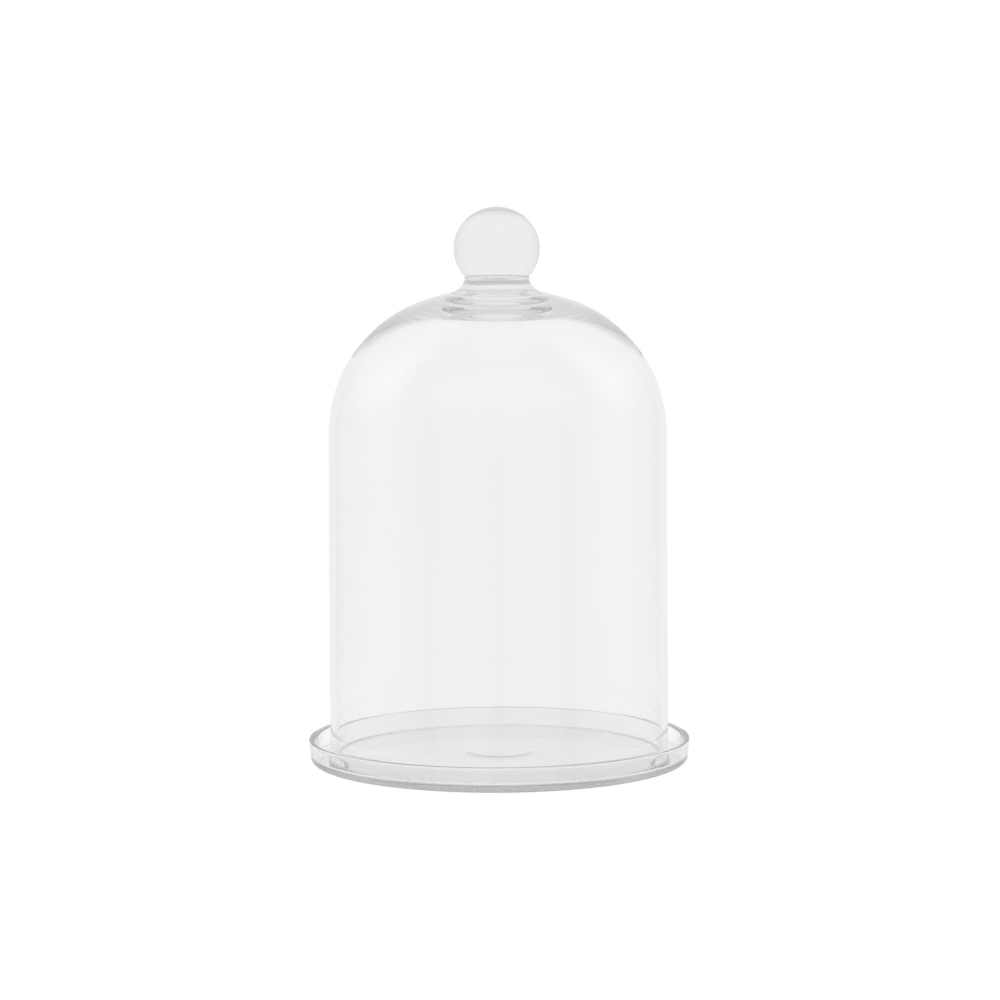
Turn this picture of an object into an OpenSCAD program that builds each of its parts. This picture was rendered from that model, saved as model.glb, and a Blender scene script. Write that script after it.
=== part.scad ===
// Glass cloche: a blown bell with a solid ball handle, standing loose in a shallow pressed tray.
// Origin at the middle of the tray's underside, +Z up, millimetres.

/* [Tray] */
// Outer diameter over the rim
tray_d = 203; // [200:1:244]
// Height from the underside to the top of the rim
tray_h = 12.4; // [10:0.1:17]
// Thickness of the floor of the tray
tray_floor = 3.4; // [2.6:0.1:5]
// Thickness of the rim
tray_lip = 4.6; // [4:0.1:5]
// Rounding of the two edges on top of the rim
top_round = 1; // [0.5:0.1:1.6]
// How far the outside of the rim leans in from its top to the foot
tray_lean = 0.9; // [0:0.1:3]
// Rounding of the outer edge of the foot
foot_round = 2.6; // [1:0.1:3.2]
// Radius of the corner between the tray floor and the rim
corner_r = 1.2; // [0.6:0.1:2]
// Diameter of the low boss in the middle of the floor, at its foot
boss_d = 38.6; // [30:0.1:60]
// Height of the boss above the floor
boss_h = 0.3; // [0.2:0.05:0.8]
// Radius of the soft edge of the boss, hollow at its foot and round at its top
boss_edge = 20; // [10:0.5:30]

/* [Dome] */
// Outer diameter of the bell
dome_d = 180.4; // [150:0.1:182]
// Thickness of the blown wall at the side
dome_wall = 3; // [2.4:0.1:4]
// Rounding of the two edges of the flat ground lip
lip_edge = 0.3; // [0.2:0.1:1]
// Height of the straight side, from the lip to where the crown starts
side_h = 170.7; // [140:0.1:206]
// Distance from the axis to the centre of the crown's arc
crown_x = 15.2; // [15:0.1:20]
// How much smaller the inside arc gets where the crown grows thick towards the neck
thick_gain = 9.5; // [6:0.5:12]
// Angle from upright at which the crown starts to grow thick
thick_turn = 62; // [50:1:75]
// Slope of the shoulder where it meets the flare of the neck, in degrees
shoulder_slope = 15; // [14:0.5:20]
// Radius of the flare between the shoulder and the neck
flare_r = 10; // [8:0.1:11]
// Diameter of the neck where the handle is fused on
neck_d = 33.8; // [29:0.1:41]
// Height of the seam above the foot of the flare
neck_rise = 6.6; // [5:0.1:8]

/* [Knob] */
// Diameter of the ball handle
knob_d = 46.2; // [46:0.1:56]
// How much lower the top of the ball is than a true ball's
knob_sink = 0.8; // [0.2:0.1:2]
// How much larger the radius of the flatter cap is than the ball's
cap_gain = 1.75; // [1:0.05:4]
// Height of the straight foot that joins the ball to the seam
knob_foot = 2; // [0.5:0.1:4]

/* [Fits] */
// Space left under the dome's lip where it rests on the tray floor
seat_gap = 0.1; // [0.05:0.05:0.3]

/* [Hidden] */
$fn = 96;
glass = [0.86, 0.90, 0.89, 0.45];
tray_r = tray_d / 2;
dome_r = dome_d / 2;
neck_r = neck_d / 2;
knob_r = knob_d / 2;
lip_z = tray_floor + seat_gap;
crown_r = dome_r - crown_x;
even_r = crown_r - dome_wall;
thick_r = even_r - thick_gain;
// Where the shoulder's straight slope leaves the crown arc, measured from the lip
slope_x = crown_x + crown_r * sin(shoulder_slope);
slope_z = side_h + crown_r * cos(shoulder_slope);
// The flare arc runs from the slope up to the neck
flare_x = neck_r + flare_r;
foot_x = flare_x - flare_r * sin(shoulder_slope);
foot_z = slope_z + (slope_x - foot_x) * tan(shoulder_slope);
flare_z = foot_z + flare_r * cos(shoulder_slope);
seam_h = foot_z + neck_rise;
// The seam is as wide as the flare is at that height
seam_r = flare_x - sqrt(flare_r * flare_r - pow(flare_z - seam_h, 2));
seam_z = lip_z + seam_h;
// The ball's side arc is centred off the axis, and its cap's arc below the middle
cap_r = knob_r + cap_gain;
cap_drop = knob_sink + cap_gain;
side_off = (cap_drop * cap_drop - cap_gain * cap_gain) / (2 * cap_gain);
side_r = knob_r - side_off;
cap_from = side_r * cap_drop / sqrt(side_off * side_off + cap_drop * cap_drop);
// The ball ends where it is as wide as the seam, and its foot carries on down
ball_low = sqrt(side_r * side_r - pow(seam_r - side_off, 2));
knob_z = seam_z + knob_foot + ball_low;

// Half section of the boss: a low round pad with a soft edge
module boss_section() {
  boss_r = boss_d / 2;
  turn = acos(1 - boss_h / 2 / boss_edge);
  reach = boss_edge * sin(turn);
  top_x = boss_r - 2 * reach;
  translate([0, tray_floor - 0.5]) square([top_x, boss_h + 0.5]);
  intersection() {
    translate([top_x, tray_floor + boss_h - boss_edge]) circle(boss_edge);
    translate([top_x - 1, tray_floor - 0.5]) square([reach + 1, boss_h + 1]);
  }
  difference() {
    translate([boss_r - reach, tray_floor - 0.5]) square([reach, boss_h / 2 + 0.5]);
    translate([boss_r, tray_floor + boss_edge]) circle(boss_edge);
  }
}

// Half section of the tray: flat floor, rounded foot, low rim with rounded edges, and the boss
module tray_section() {
  base_x = tray_r - tray_lean - foot_round;
  inner_x = tray_r - tray_lip;
  edge_z = tray_h - top_round;
  polygon([
    [0, 0],
    [base_x, 0],
    [base_x + foot_round, foot_round],
    [tray_r, edge_z],
    [tray_r - top_round, tray_h],
    [inner_x + top_round, tray_h],
    [inner_x, edge_z],
    [inner_x, tray_floor],
    [0, tray_floor]
  ]);
  intersection() {
    translate([base_x, foot_round]) circle(foot_round);
    translate([base_x, 0]) square(foot_round);
  }
  translate([tray_r - top_round, edge_z]) circle(top_round);
  translate([inner_x + top_round, edge_z]) circle(top_round);
  difference() {
    translate([inner_x - corner_r, tray_floor - 0.5]) square([corner_r + 0.5, corner_r + 0.5]);
    translate([inner_x - corner_r, tray_floor + corner_r]) circle(corner_r);
  }
  boss_section();
}

// Half section of the bell's filled outline, from the lip up
module bell_section() {
  square([dome_r, side_h]);
  intersection() {
    translate([crown_x, side_h]) circle(crown_r);
    translate([0, side_h - 1]) square([dome_r, crown_r + 1]);
  }
  translate([0, side_h - 1]) square([crown_x, crown_r + 1]);
}

// Half section of the hollow: the wall is even up to the turn, then grows thick to the middle
module hollow_section() {
  turn_x = crown_x + thick_gain * sin(thick_turn);
  turn_z = side_h + thick_gain * cos(thick_turn);
  meet_x = crown_x + even_r * sin(thick_turn);
  meet_z = side_h + even_r * cos(thick_turn);
  square([dome_r - dome_wall, side_h]);
  intersection() {
    translate([crown_x, side_h]) circle(even_r);
    translate([meet_x, side_h - 1]) square([even_r, even_r]);
  }
  translate([0, side_h - 1]) square([meet_x, meet_z - side_h + 1]);
  intersection() {
    translate([turn_x, turn_z]) circle(thick_r);
    translate([turn_x, meet_z - 1]) square([meet_x - turn_x, thick_r]);
  }
  translate([0, meet_z - 1]) square([turn_x, turn_z + thick_r - meet_z + 1]);
}

// Half section of the shoulder slope and the flare that carry the neck
module neck_section() {
  polygon([
    [0, side_h + crown_r / 2],
    [slope_x, slope_z - 1],
    [slope_x, slope_z],
    [foot_x, foot_z],
    [0, foot_z]
  ]);
  difference() {
    translate([0, foot_z - 1]) square([foot_x, neck_rise + 1]);
    translate([flare_x, flare_z]) circle(flare_r);
  }
}

module tray() {
  color(glass)
    rotate_extrude() tray_section();
}

// Half section of the lip: ground flat underneath, with both edges eased
module lip_section() {
  inner_x = dome_r - dome_wall;
  translate([inner_x + lip_edge, 0]) square([dome_wall - 2 * lip_edge, lip_edge + 0.5]);
  translate([inner_x + lip_edge, lip_edge]) circle(lip_edge);
  translate([dome_r - lip_edge, lip_edge]) circle(lip_edge);
}

module dome() {
  color(glass)
    translate([0, 0, lip_z])
      rotate_extrude() {
        difference() {
          union() {
            bell_section();
            neck_section();
          }
          hollow_section();
          translate([0, -1]) square([dome_r + 1, 1 + lip_edge]);
        }
        lip_section();
      }
}

module knob() {
  color(glass)
    rotate_extrude() {
      intersection() {
        translate([side_off, knob_z]) circle(side_r);
        translate([0, knob_z - ball_low]) square([knob_r, 2 * knob_r]);
      }
      intersection() {
        translate([0, knob_z - cap_drop]) circle(cap_r);
        translate([0, knob_z + cap_from]) square([knob_r, knob_r]);
      }
      translate([0, seam_z]) square([seam_r, knob_foot + 1]);
    }
}

tray();
dome();
knob();
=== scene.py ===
# %% [markdown]
# # A glass cloche, piece by piece
#
# A cloche is a tall glass bell that stands in a shallow glass tray. The bell
# is blown, the ball on top is a solid drop of glass fused to its neck, and
# the tray is pressed in a mould. Nothing is fastened: the bell lifts off.
# The frame gives the solid parts and how they move. This lesson gives each
# part a smooth glass surface with its waves, faint tint and wear.

# %% Load the frame
import math
import bmesh
import bpy
from mathutils import Matrix, Vector


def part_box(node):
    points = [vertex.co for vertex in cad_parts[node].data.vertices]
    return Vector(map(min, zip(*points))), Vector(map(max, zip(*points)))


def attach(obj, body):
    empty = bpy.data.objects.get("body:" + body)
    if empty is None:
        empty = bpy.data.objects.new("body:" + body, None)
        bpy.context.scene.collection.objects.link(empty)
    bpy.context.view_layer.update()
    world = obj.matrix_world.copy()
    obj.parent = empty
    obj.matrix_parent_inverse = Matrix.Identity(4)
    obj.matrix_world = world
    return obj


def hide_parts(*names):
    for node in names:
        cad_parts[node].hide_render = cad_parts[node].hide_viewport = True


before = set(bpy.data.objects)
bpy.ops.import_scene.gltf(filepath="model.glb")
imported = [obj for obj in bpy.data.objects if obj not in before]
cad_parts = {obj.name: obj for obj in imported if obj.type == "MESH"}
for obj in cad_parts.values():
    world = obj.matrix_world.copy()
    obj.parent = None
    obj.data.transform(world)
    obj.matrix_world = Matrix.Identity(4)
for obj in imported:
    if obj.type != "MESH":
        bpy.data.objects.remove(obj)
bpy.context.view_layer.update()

scene = bpy.context.scene

# %% [markdown]
# Glass is turned work: every part is round about one upright axis. So one
# half outline is enough for each part, and a full turn of it makes the
# surface. The pen below draws an outline out of straight runs and arcs. Each
# arc is a small spin of one point about the arc's own centre, so the curve
# is exact wherever its tangent meets the next run.

# %% The outline pen
class Outline:
    """Half an outline in the XZ plane, drawn point by point."""

    def __init__(self, x, z):
        self.bm = bmesh.new()
        self.tip = self.bm.verts.new((x, 0, z))

    def move(self, x, z):
        """Lift the pen and start another stroke of the same outline."""
        self.tip = self.bm.verts.new((x, 0, z))
        return self

    def line(self, x, z, parts=1):
        start, end = self.tip.co.copy(), Vector((x, 0, z))
        for i in range(1, parts + 1):
            made = bmesh.ops.extrude_vert_indiv(self.bm, verts=[self.tip])
            self.tip = made["verts"][0]
            self.tip.co = start.lerp(end, i / parts)
        return self

    def arc(self, x, z, degrees, parts):
        made = bmesh.ops.spin(
            self.bm, geom=[self.tip], cent=(x, 0, z), axis=(0, 1, 0),
            angle=math.radians(degrees), steps=parts, use_duplicate=False)
        self.tip = next(g for g in made["geom_last"] if isinstance(g, bmesh.types.BMVert))
        return self

    def turn(self, name, parts):
        """Spin the outline once round the upright axis into a closed piece."""
        bm = self.bm
        bmesh.ops.spin(
            bm, geom=bm.verts[:] + bm.edges[:], cent=(0, 0, 0), axis=(0, 0, 1),
            angle=math.tau, steps=parts, use_merge=True, use_duplicate=False)
        bmesh.ops.remove_doubles(bm, verts=bm.verts, dist=2e-6)
        bmesh.ops.recalc_face_normals(bm, faces=bm.faces)
        loose = sum(edge.is_boundary for edge in bm.edges)
        volume = bm.calc_volume(signed=True) * 1e6
        mesh = bpy.data.meshes.new(name)
        bm.to_mesh(mesh)
        bm.free()
        mesh.polygons.foreach_set("use_smooth", [True] * len(mesh.polygons))
        piece = bpy.data.objects.new(name, mesh)
        scene.collection.objects.link(piece)
        print(f"{name}: {len(mesh.polygons)} faces, {loose} open edges, {volume:.1f} cm3")
        return piece

# %% [markdown]
# The bell is blown into a straight mould and then worked at the top: a long
# straight side, a round crown, and a flare that runs up into the neck. The
# wall is three millimetres up to the shoulder and then grows thick under the
# handle, because the gather of glass is left heavy there. That thick lens of
# glass makes the rings that are seen under the neck. The lip is ground flat,
# so that it sits close on the tray, and its two edges are only just eased.

# %% Sizes of the bell, in metres
LIP_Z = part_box("dome")[0][2]
BELL_R = 0.0902
WALL = 0.003
LIP_EDGE = 0.0003
SIDE_H = 0.1707
CROWN_R = 0.075
CROWN_INSIDE_R = 0.0625
THICK_TURN = 62
SHOULDER_SLOPE = math.radians(15)
FLARE_R = 0.010
NECK_R = 0.0169
NECK_RISE = 0.0066

crown_x = BELL_R - CROWN_R
slope_x = crown_x + CROWN_R * math.sin(SHOULDER_SLOPE)
slope_z = SIDE_H + CROWN_R * math.cos(SHOULDER_SLOPE)
flare_x = NECK_R + FLARE_R
foot_x = flare_x - FLARE_R * math.sin(SHOULDER_SLOPE)
foot_z = slope_z + (slope_x - foot_x) * math.tan(SHOULDER_SLOPE)
flare_z = foot_z + FLARE_R * math.cos(SHOULDER_SLOPE)
seam_h = foot_z + NECK_RISE
seam_r = flare_x - math.sqrt(FLARE_R**2 - (flare_z - seam_h)**2)
SEAM_Z = LIP_Z + seam_h
print(f"lip {LIP_Z:.4f}, seam {SEAM_Z:.4f}, seam radius {seam_r:.4f}")


# %% Blow the bell
def blow_bell():
    inside = BELL_R - WALL
    edge = LIP_Z + LIP_EDGE
    side_top = LIP_Z + SIDE_H
    flare_turn = math.degrees(math.acos((flare_z - seam_h) / FLARE_R))
    bell = Outline(BELL_R, edge)
    bell.line(BELL_R, side_top, 30)
    bell.arc(crown_x, side_top, math.degrees(SHOULDER_SLOPE) - 90, 60)
    bell.line(foot_x, LIP_Z + foot_z, 4)
    bell.arc(flare_x, LIP_Z + flare_z, flare_turn - math.degrees(SHOULDER_SLOPE), 24)
    bell.line(0, SEAM_Z, 10)
    # inside, the wall keeps its thickness up to the turn and then grows thicker
    even_r = CROWN_R - WALL
    turn = math.radians(THICK_TURN)
    turn_x = crown_x + (even_r - CROWN_INSIDE_R) * math.sin(turn)
    turn_z = side_top + (even_r - CROWN_INSIDE_R) * math.cos(turn)
    bell.move(0, turn_z + CROWN_INSIDE_R)
    bell.line(turn_x, turn_z + CROWN_INSIDE_R, 10)
    bell.arc(turn_x, turn_z, THICK_TURN, 40)
    bell.arc(crown_x, side_top, 90 - THICK_TURN, 40)
    bell.line(inside, edge, 30)
    bell.arc(inside + LIP_EDGE, edge, -90, 6)
    bell.line(BELL_R - LIP_EDGE, LIP_Z, 2)
    bell.arc(BELL_R - LIP_EDGE, edge, -90, 6)
    return bell.turn("dome_glass", 256)


dome = blow_bell()
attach(dome, "bell")
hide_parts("dome")

# %% [markdown]
# The handle is a ball of solid glass. It was pressed down on the neck while
# both were soft, so its underside ends in a short foot where the two became
# one. It is a hair shorter than a true ball, because it sank a little under
# its own weight before it set.

# %% Drop the ball on the neck
KNOB_R = 0.0231
KNOB_H = 0.0223
CAP_R = 0.02485
KNOB_FOOT = 0.002
# the side arc is centred a little off the axis, and the cap's arc below the middle
cap_drop = CAP_R - KNOB_H
off_axis = (cap_drop**2 - (CAP_R - KNOB_R)**2) / (2 * (CAP_R - KNOB_R))
SIDE_R = KNOB_R - off_axis


def drop_ball():
    below = math.sqrt(SIDE_R**2 - (seam_r - off_axis)**2)
    middle = SEAM_Z + KNOB_FOOT + below
    cap_turn = math.degrees(math.atan2(off_axis, cap_drop))
    side_turn = 90 - cap_turn + math.degrees(math.asin(below / SIDE_R))
    ball = Outline(0, middle + KNOB_H)
    ball.arc(0, middle - cap_drop, cap_turn, 20)
    ball.arc(off_axis, middle, side_turn, 72)
    ball.line(seam_r, SEAM_Z, 4)
    print(f"ball middle {middle:.4f}, top {middle + KNOB_H:.4f}")
    ball.line(0, SEAM_Z, 10)
    return ball.turn("knob_glass", 192)


knob = drop_ball()
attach(knob, "bell")
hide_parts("knob")

# %% [markdown]
# The tray is pressed: a plunger squeezes a gob of glass into an iron mould.
# It has a flat thick floor, a low rim with a round top, and a rounded foot.
# The plunger leaves a low ring in the middle of the floor.

# %% Press the tray
TRAY_R = 0.1015
TRAY_H = 0.0124
TRAY_FLOOR = 0.0034
TRAY_LIP = 0.0046
TOP_ROUND = 0.0010
TRAY_LEAN = 0.0009
FOOT_ROUND = 0.0026
CORNER_R = 0.0012
BOSS_R = 0.0193
BOSS_H = 0.0003
BOSS_EDGE_R = 0.0200


def press_tray():
    foot = TRAY_R - TRAY_LEAN - FOOT_ROUND
    inside = TRAY_R - TRAY_LIP
    edge = TRAY_H - TOP_ROUND
    # the boss rises on one arc and levels off on another of the same radius
    half = math.acos(1 - BOSS_H / 2 / BOSS_EDGE_R)
    reach = BOSS_EDGE_R * math.sin(half)
    half = math.degrees(half)
    boss_top = TRAY_FLOOR + BOSS_H
    tray = Outline(0, 0)
    tray.line(foot, 0, 10)
    tray.arc(foot, FOOT_ROUND, -90, 16)
    tray.line(TRAY_R, edge, 6)
    tray.arc(TRAY_R - TOP_ROUND, edge, -90, 12)
    tray.line(inside + TOP_ROUND, TRAY_H, 3)
    tray.arc(inside + TOP_ROUND, edge, -90, 12)
    tray.line(inside, TRAY_FLOOR + CORNER_R, 3)
    tray.arc(inside - CORNER_R, TRAY_FLOOR + CORNER_R, 90, 16)
    tray.line(BOSS_R, TRAY_FLOOR, 10)
    tray.arc(BOSS_R, TRAY_FLOOR + BOSS_EDGE_R, half, 8)
    tray.arc(BOSS_R - 2 * reach, boss_top - BOSS_EDGE_R, -half, 8)
    tray.line(0, boss_top, 6)
    return tray.turn("tray_glass", 256)


tray = press_tray()
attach(tray, "tray")
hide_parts("tray")

# %% [markdown]
# A finish is a small tree of nodes. To read like arithmetic, a number that
# changes over the surface is wrapped in a class whose plus, minus, times and
# divide make Math nodes. Every other node comes from one method, which takes
# the node's type, its settings, and the values or links of its inputs.

# %% Numbers that change over a surface
class Number:
    """One output of a node, with the arithmetic that a finish needs."""

    def __init__(self, sheet, socket):
        self.sheet, self.socket = sheet, socket

    def math(self, operation, *others, first=None):
        parts = [self, *others] if first is None else [first, self]
        made = self.sheet.node(
            "ShaderNodeMath", {"operation": operation}, dict(enumerate(parts)))
        return Number(self.sheet, made.outputs[0])

    def __add__(self, other): return self.math("ADD", other)
    def __radd__(self, other): return self.math("ADD", other)
    def __sub__(self, other): return self.math("SUBTRACT", other)
    def __rsub__(self, other): return self.math("SUBTRACT", first=other)
    def __mul__(self, other): return self.math("MULTIPLY", other)
    def __rmul__(self, other): return self.math("MULTIPLY", other)
    def __truediv__(self, other): return self.math("DIVIDE", other)
    def __gt__(self, other): return self.math("GREATER_THAN", other)
    def __abs__(self): return self.math("ABSOLUTE")

    def clip(self, low, high):
        return self.math("MAXIMUM", low).math("MINIMUM", high)

    def rise(self, low, high):
        """0 below low, 1 above high, and a soft step between."""
        made = self.sheet.node(
            "ShaderNodeMapRange", {"interpolation_type": "SMOOTHSTEP"},
            {"Value": self, "From Min": low, "From Max": high})
        return Number(self.sheet, made.outputs["Result"])

    def near(self, middle, half, soft):
        """1 within half of the middle, and 0 outside."""
        return 1 - abs(self - middle).rise(half - soft, half + soft)

    def blend(self, other, mask):
        """This number where the mask is 0, the other where it is 1."""
        return self + (other - self) * mask


class Sheet:
    """The node tree of one finish."""

    def __init__(self, owner):
        owner.use_nodes = True
        self.tree = owner.node_tree
        self.tree.nodes.clear()

    def node(self, kind, settings=None, inputs=None):
        made = self.tree.nodes.new(kind)
        for name, value in (settings or {}).items():
            setattr(made, name, value)
        for name, value in (inputs or {}).items():
            if isinstance(value, Number):
                value = value.socket
            if isinstance(value, bpy.types.NodeSocket):
                self.tree.links.new(value, made.inputs[name])
            else:
                made.inputs[name].default_value = value
        return made

    def place(self):
        """Where a point is on the piece, in metres, as a vector and x, y, z."""
        where = self.node("ShaderNodeTexCoord").outputs["Object"]
        split = self.node("ShaderNodeSeparateXYZ", None, {0: where})
        return where, [Number(self, axis) for axis in split.outputs]

    def stretch(self, where, scale):
        """The same place with each axis scaled, for streaks and long waves."""
        made = self.node("ShaderNodeMapping", None, {"Vector": where, "Scale": scale})
        return made.outputs[0]

    def noise(self, where, scale, detail=2.0, roughness=0.5):
        made = self.node(
            "ShaderNodeTexNoise", None,
            {"Vector": where, "Scale": scale, "Detail": detail, "Roughness": roughness})
        return Number(self, made.outputs["Fac"])

    def colour(self, low, high, mask):
        made = self.node(
            "ShaderNodeMix", {"data_type": "RGBA"},
            {0: mask, 6: (*low, 1), 7: (*high, 1)})
        return made.outputs[2]


# %% [markdown]
# Blown glass is clear, but never quite true. It carries long soft waves
# from the blowing, a few drawn streaks that run up and down, and a faint
# grey where it is thick. The waves are far too low to cut in the mesh, a few
# hundredths of a millimetre, so they are a bump. The ground lip is frosted by
# the wheel, and the tray's foot is rubbed by every setting down.

# %% A glass finish for each way of making it
CLEAR = 1.52            # how strongly soda-lime glass bends light
WAVE_SCALE = 26.0
STREAK_SCALE = 90.0
CLOUD_SCALE = 14.0
SCUFF_SCALE = 900.0


def glass(name, thin, thick, height, wear=None, deep=None):
    """A clear glass. Thin and thick are its tints, and height the waves' depth.

    Wear is the height of a rubbed band, half its width and its roughness. Deep
    is the colour and strength of the grey that a long way through it takes on.
    """
    finish = bpy.data.materials.new(name)
    sheet = Sheet(finish)
    where, (x, y, z) = sheet.place()
    waves = sheet.noise(sheet.stretch(where, (1, 1, 0.35)), WAVE_SCALE)
    streaks = sheet.noise(sheet.stretch(where, (1, 1, 0.06)), STREAK_SCALE, 1.0)
    bump = sheet.node(
        "ShaderNodeBump", None,
        {"Strength": 1.0, "Distance": height, "Height": waves * 0.8 + streaks * 0.2})
    cloud = sheet.noise(where, CLOUD_SCALE)
    tint = sheet.colour(thin, thick, cloud.rise(0.35, 0.7))
    body = sheet.node("ShaderNodeBsdfPrincipled", None, {
        "Base Color": tint, "IOR": CLEAR, "Transmission Weight": 1.0,
        "Normal": bump.outputs[0], "Roughness": 0.0})
    if wear:
        band, half, rough = wear
        scuffs = sheet.noise(where, SCUFF_SCALE, 4.0).rise(0.45, 0.75)
        rubbed = z.near(band, half, half * 0.5)
        sheet.tree.links.new((rubbed * scuffs * rough).socket, body.inputs["Roughness"])
    out = sheet.node("ShaderNodeOutputMaterial", None, {"Surface": body.outputs[0]})
    if deep:
        colour, strength = deep
        grey = sheet.node("ShaderNodeVolumeAbsorption", None,
                          {"Color": (*colour, 1), "Density": strength})
        sheet.tree.links.new(grey.outputs[0], out.inputs["Volume"])
    return finish


blown = glass("blown_glass_finish", (1.0, 1.0, 1.0), (0.992, 0.994, 0.992), 0.00003,
              wear=(LIP_Z, 0.0012, 0.5))
solid = glass("solid_glass_finish", (0.905, 0.905, 0.903), (0.89, 0.89, 0.888), 0.00001)
pressed = glass("pressed_glass_finish", (1.0, 1.0, 1.0), (0.985, 0.987, 0.984), 0.00001,
                wear=(0.0, 0.0006, 0.3), deep=((0.50, 0.50, 0.49), 3.8))
print("finishes:", [finish.name for finish in (blown, solid, pressed)])

# %% [markdown]
# Where the ball and the neck were fused there is no surface left: light goes
# straight through. Both pieces are closed shells, so each still has a face
# there, and those faces get a see-through finish.

# %% The faces that were fused
fused = bpy.data.materials.new("fused_face_finish")
sheet = Sheet(fused)
through = sheet.node("ShaderNodeBsdfTransparent")
sheet.node("ShaderNodeOutputMaterial", None, {"Surface": through.outputs[0]})

for piece, finish in ((dome, blown), (knob, solid), (tray, pressed)):
    piece.data.materials.append(finish)
for piece in (dome, knob):
    piece.data.materials.append(fused)
    at_seam = [p for p in piece.data.polygons
               if abs(p.center.z - SEAM_Z) < 1e-5 and abs(p.normal.z) > 0.99]
    for face in at_seam:
        face.material_index = 1
    print(piece.name, "fused faces:", len(at_seam))

# %% [markdown]
# Glass has no colour of its own to speak of: what is seen is what stands
# round it. The room follows how glassware is lit, with a bright wall behind,
# grey towards the viewer and a darker ceiling. Straight through the glass
# there is only white, and every reflection gives back the room's grey. No real
# room does this: what a path finds here depends on how it got there, and the
# greys were adjusted until the glass looked right from the front.

# %% The room round the glass
# greys are from 0, black, to 1, and angles are in degrees
SIDE_DARKEST = 0.25
BAR_DARKER = 0.1
HIGH_FRONT = 0.3
LAMP_BRIGHTEST = 0.87
LAMP_HALF_WIDTH = 35
CEILING_GREY = 0.46
TABLE_GREY = 0.88
LONG_WAY_GREY = 0.78
LONG_WAY_SHARE = 0.35


def light_room():
    room = bpy.data.worlds.new("white_studio")
    scene.world = room
    sheet = Sheet(room)
    way = sheet.node("ShaderNodeTexCoord").outputs["Generated"]
    split = sheet.node("ShaderNodeSeparateXYZ", None, {0: way})
    x, y, z = [Number(sheet, axis) for axis in split.outputs]
    path = sheet.node("ShaderNodeLightPath")
    glossy = Number(sheet, path.outputs["Glossy Depth"])
    inside = Number(sheet, path.outputs["Transmission Depth"]) > 0.5
    height = z.math("ARCSINE") * math.degrees(1)
    around = abs(x).math("ARCTAN2", y) * math.degrees(1)    # 0 at the back, 180 in front
    steep = abs(height)
    # the walls: bright at the back, grey round to the viewer's side
    wall = (1 - around / 165).math("MAXIMUM", SIDE_DARKEST)
    bars = around.near(131, 6, 1.5) + around.near(180, 6, 1)
    level = (1 - height.rise(17, 18.5)) * height.rise(-11.5, -10.5)
    wall = wall - bars * level * BAR_DARKER
    # higher up the walls are lit from above
    high = steep.rise(12, 30)
    front = around.rise(85, 110)
    wall = wall.blend((0.9 - steep * 0.0055) * (1 - front) + front * HIGH_FRONT, high)
    # the lamp behind
    lamp = ((62 - steep) / 50).clip(0, LAMP_BRIGHTEST)
    lamp_inside = ((100 - steep) / 50).clip(0, LAMP_BRIGHTEST)
    behind = around.near(0, LAMP_HALF_WIDTH, 1.5)
    wall = wall.blend(lamp.blend(lamp_inside, inside), behind)
    # the ceiling starts lower on the viewer's side
    ceiling = (y > 0) * steep.rise(75, 77) + (1 - (y > 0)) * steep.rise(60, 85)
    wall = wall.blend(CEILING_GREY, ceiling)
    # paths that went down inside the glass, or a long way round, are lifted
    table = (1 - height.rise(-14, -6)) * inside * (1 - around.rise(70, 90))
    wall = wall.blend(TABLE_GREY, table * (1 - steep.rise(55, 65)))
    wall = wall.blend(LONG_WAY_GREY, (glossy > 3.5) * LONG_WAY_SHARE)
    mirrored = glossy > 0.5
    seen = (1 - mirrored) + mirrored * wall
    light = sheet.node(
        "ShaderNodeBackground", None, {"Color": (1, 1, 1, 1), "Strength": seen})
    sheet.node("ShaderNodeOutputWorld", None, {"Surface": light.outputs[0]})
    print("room:", room.name, "with", len(sheet.tree.nodes), "nodes")


light_room()

# %% [markdown]
# The floor is the front of the same white sweep. It glows evenly, so the
# glass has no shadow. Seen in a reflection it lets the room below show, as
# the sweep's edge is not far in front of the tray.

# %% The floor
FLOOR_DROP = 0.0005     # just clear of the tray, so that no two faces meet
FLOOR_HALF = 6


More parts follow.
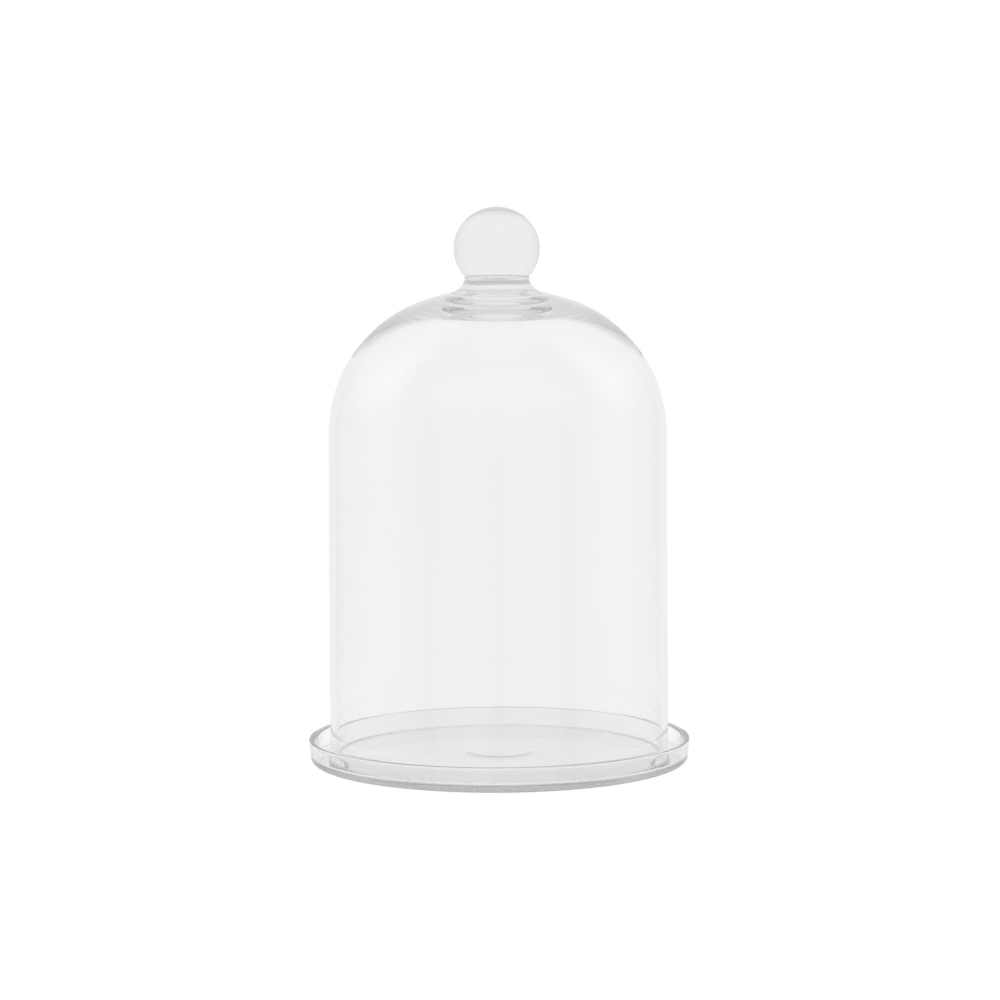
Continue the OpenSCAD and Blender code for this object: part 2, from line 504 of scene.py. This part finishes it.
def lay_floor():
    bm = bmesh.new()
    bmesh.ops.create_grid(bm, x_segments=1, y_segments=1, size=FLOOR_HALF)
    bmesh.ops.translate(bm, verts=bm.verts, vec=(0, 0, -FLOOR_DROP))
    mesh = bpy.data.meshes.new("floor")
    bm.to_mesh(mesh)
    bm.free()
    floor = bpy.data.objects.new("floor", mesh)
    scene.collection.objects.link(floor)
    finish = bpy.data.materials.new("white_sweep")
    sheet = Sheet(finish)
    path = sheet.node("ShaderNodeLightPath")
    mirrored = Number(sheet, path.outputs["Glossy Depth"]) > 0.5
    glow = sheet.node("ShaderNodeEmission", None, {"Color": (1, 1, 1, 1), "Strength": 1.0})
    clear = sheet.node("ShaderNodeBsdfTransparent")
    mix = sheet.node("ShaderNodeMixShader", None,
                     {0: mirrored, 1: glow.outputs[0], 2: clear.outputs[0]})
    sheet.node("ShaderNodeOutputMaterial", None, {"Surface": mix.outputs[0]})
    mesh.materials.append(finish)
    return floor


floor = lay_floor()
print(f"floor {2 * FLOOR_HALF} m wide, {FLOOR_DROP * 1000} mm under the tray")

# %% [markdown]
# The camera stands about a metre away at the height of the bell's shoulder
# and looks level, so upright sides stay upright. The lens is shifted down to
# frame the whole cloche, as on a product camera. The real bell leans a little
# and this one is upright, so the camera is rolled a third of a degree instead.

# %% The camera
CAMERA_AWAY = 1.113
CAMERA_HEIGHT = 0.1954
FRAME_WIDTH = 0.536     # what the lens takes in at the glass
LEAN = math.radians(0.30)
SENSOR = 36


def set_camera():
    lens = bpy.data.cameras.new("camera")
    camera = bpy.data.objects.new("camera", lens)
    scene.collection.objects.link(camera)
    scene.camera = camera
    camera.location = (0, -CAMERA_AWAY, CAMERA_HEIGHT)
    camera.rotation_mode = "QUATERNION"
    level = Matrix.Rotation(math.radians(90), 4, "X")
    camera.rotation_quaternion = (Matrix.Rotation(LEAN, 4, "Y") @ level).to_quaternion()
    lens.sensor_width = SENSOR
    lens.lens = SENSOR * CAMERA_AWAY / FRAME_WIDTH
    lens.shift_x = 0.0025
    lens.shift_y = -0.107
    print(f"camera {CAMERA_AWAY} m away, lens {lens.lens:.1f} mm")


set_camera()

# %% [markdown]
# Light that gets into thick glass can bounce inside it dozens of times before
# it finds a way out. A low limit stops it there and leaves black patches at
# the seam and in the crown, so the limit is raised until they clear. The
# plain view transform keeps the white sweep white.

# %% Colours and light paths
scene.view_settings.view_transform = "Standard"
PATH_TURNS = 96
scene.cycles.max_bounces = PATH_TURNS
scene.cycles.transmission_bounces = PATH_TURNS
scene.cycles.glossy_bounces = PATH_TURNS
scene.cycles.transparent_max_bounces = 16
print("light may turn", PATH_TURNS, "times")
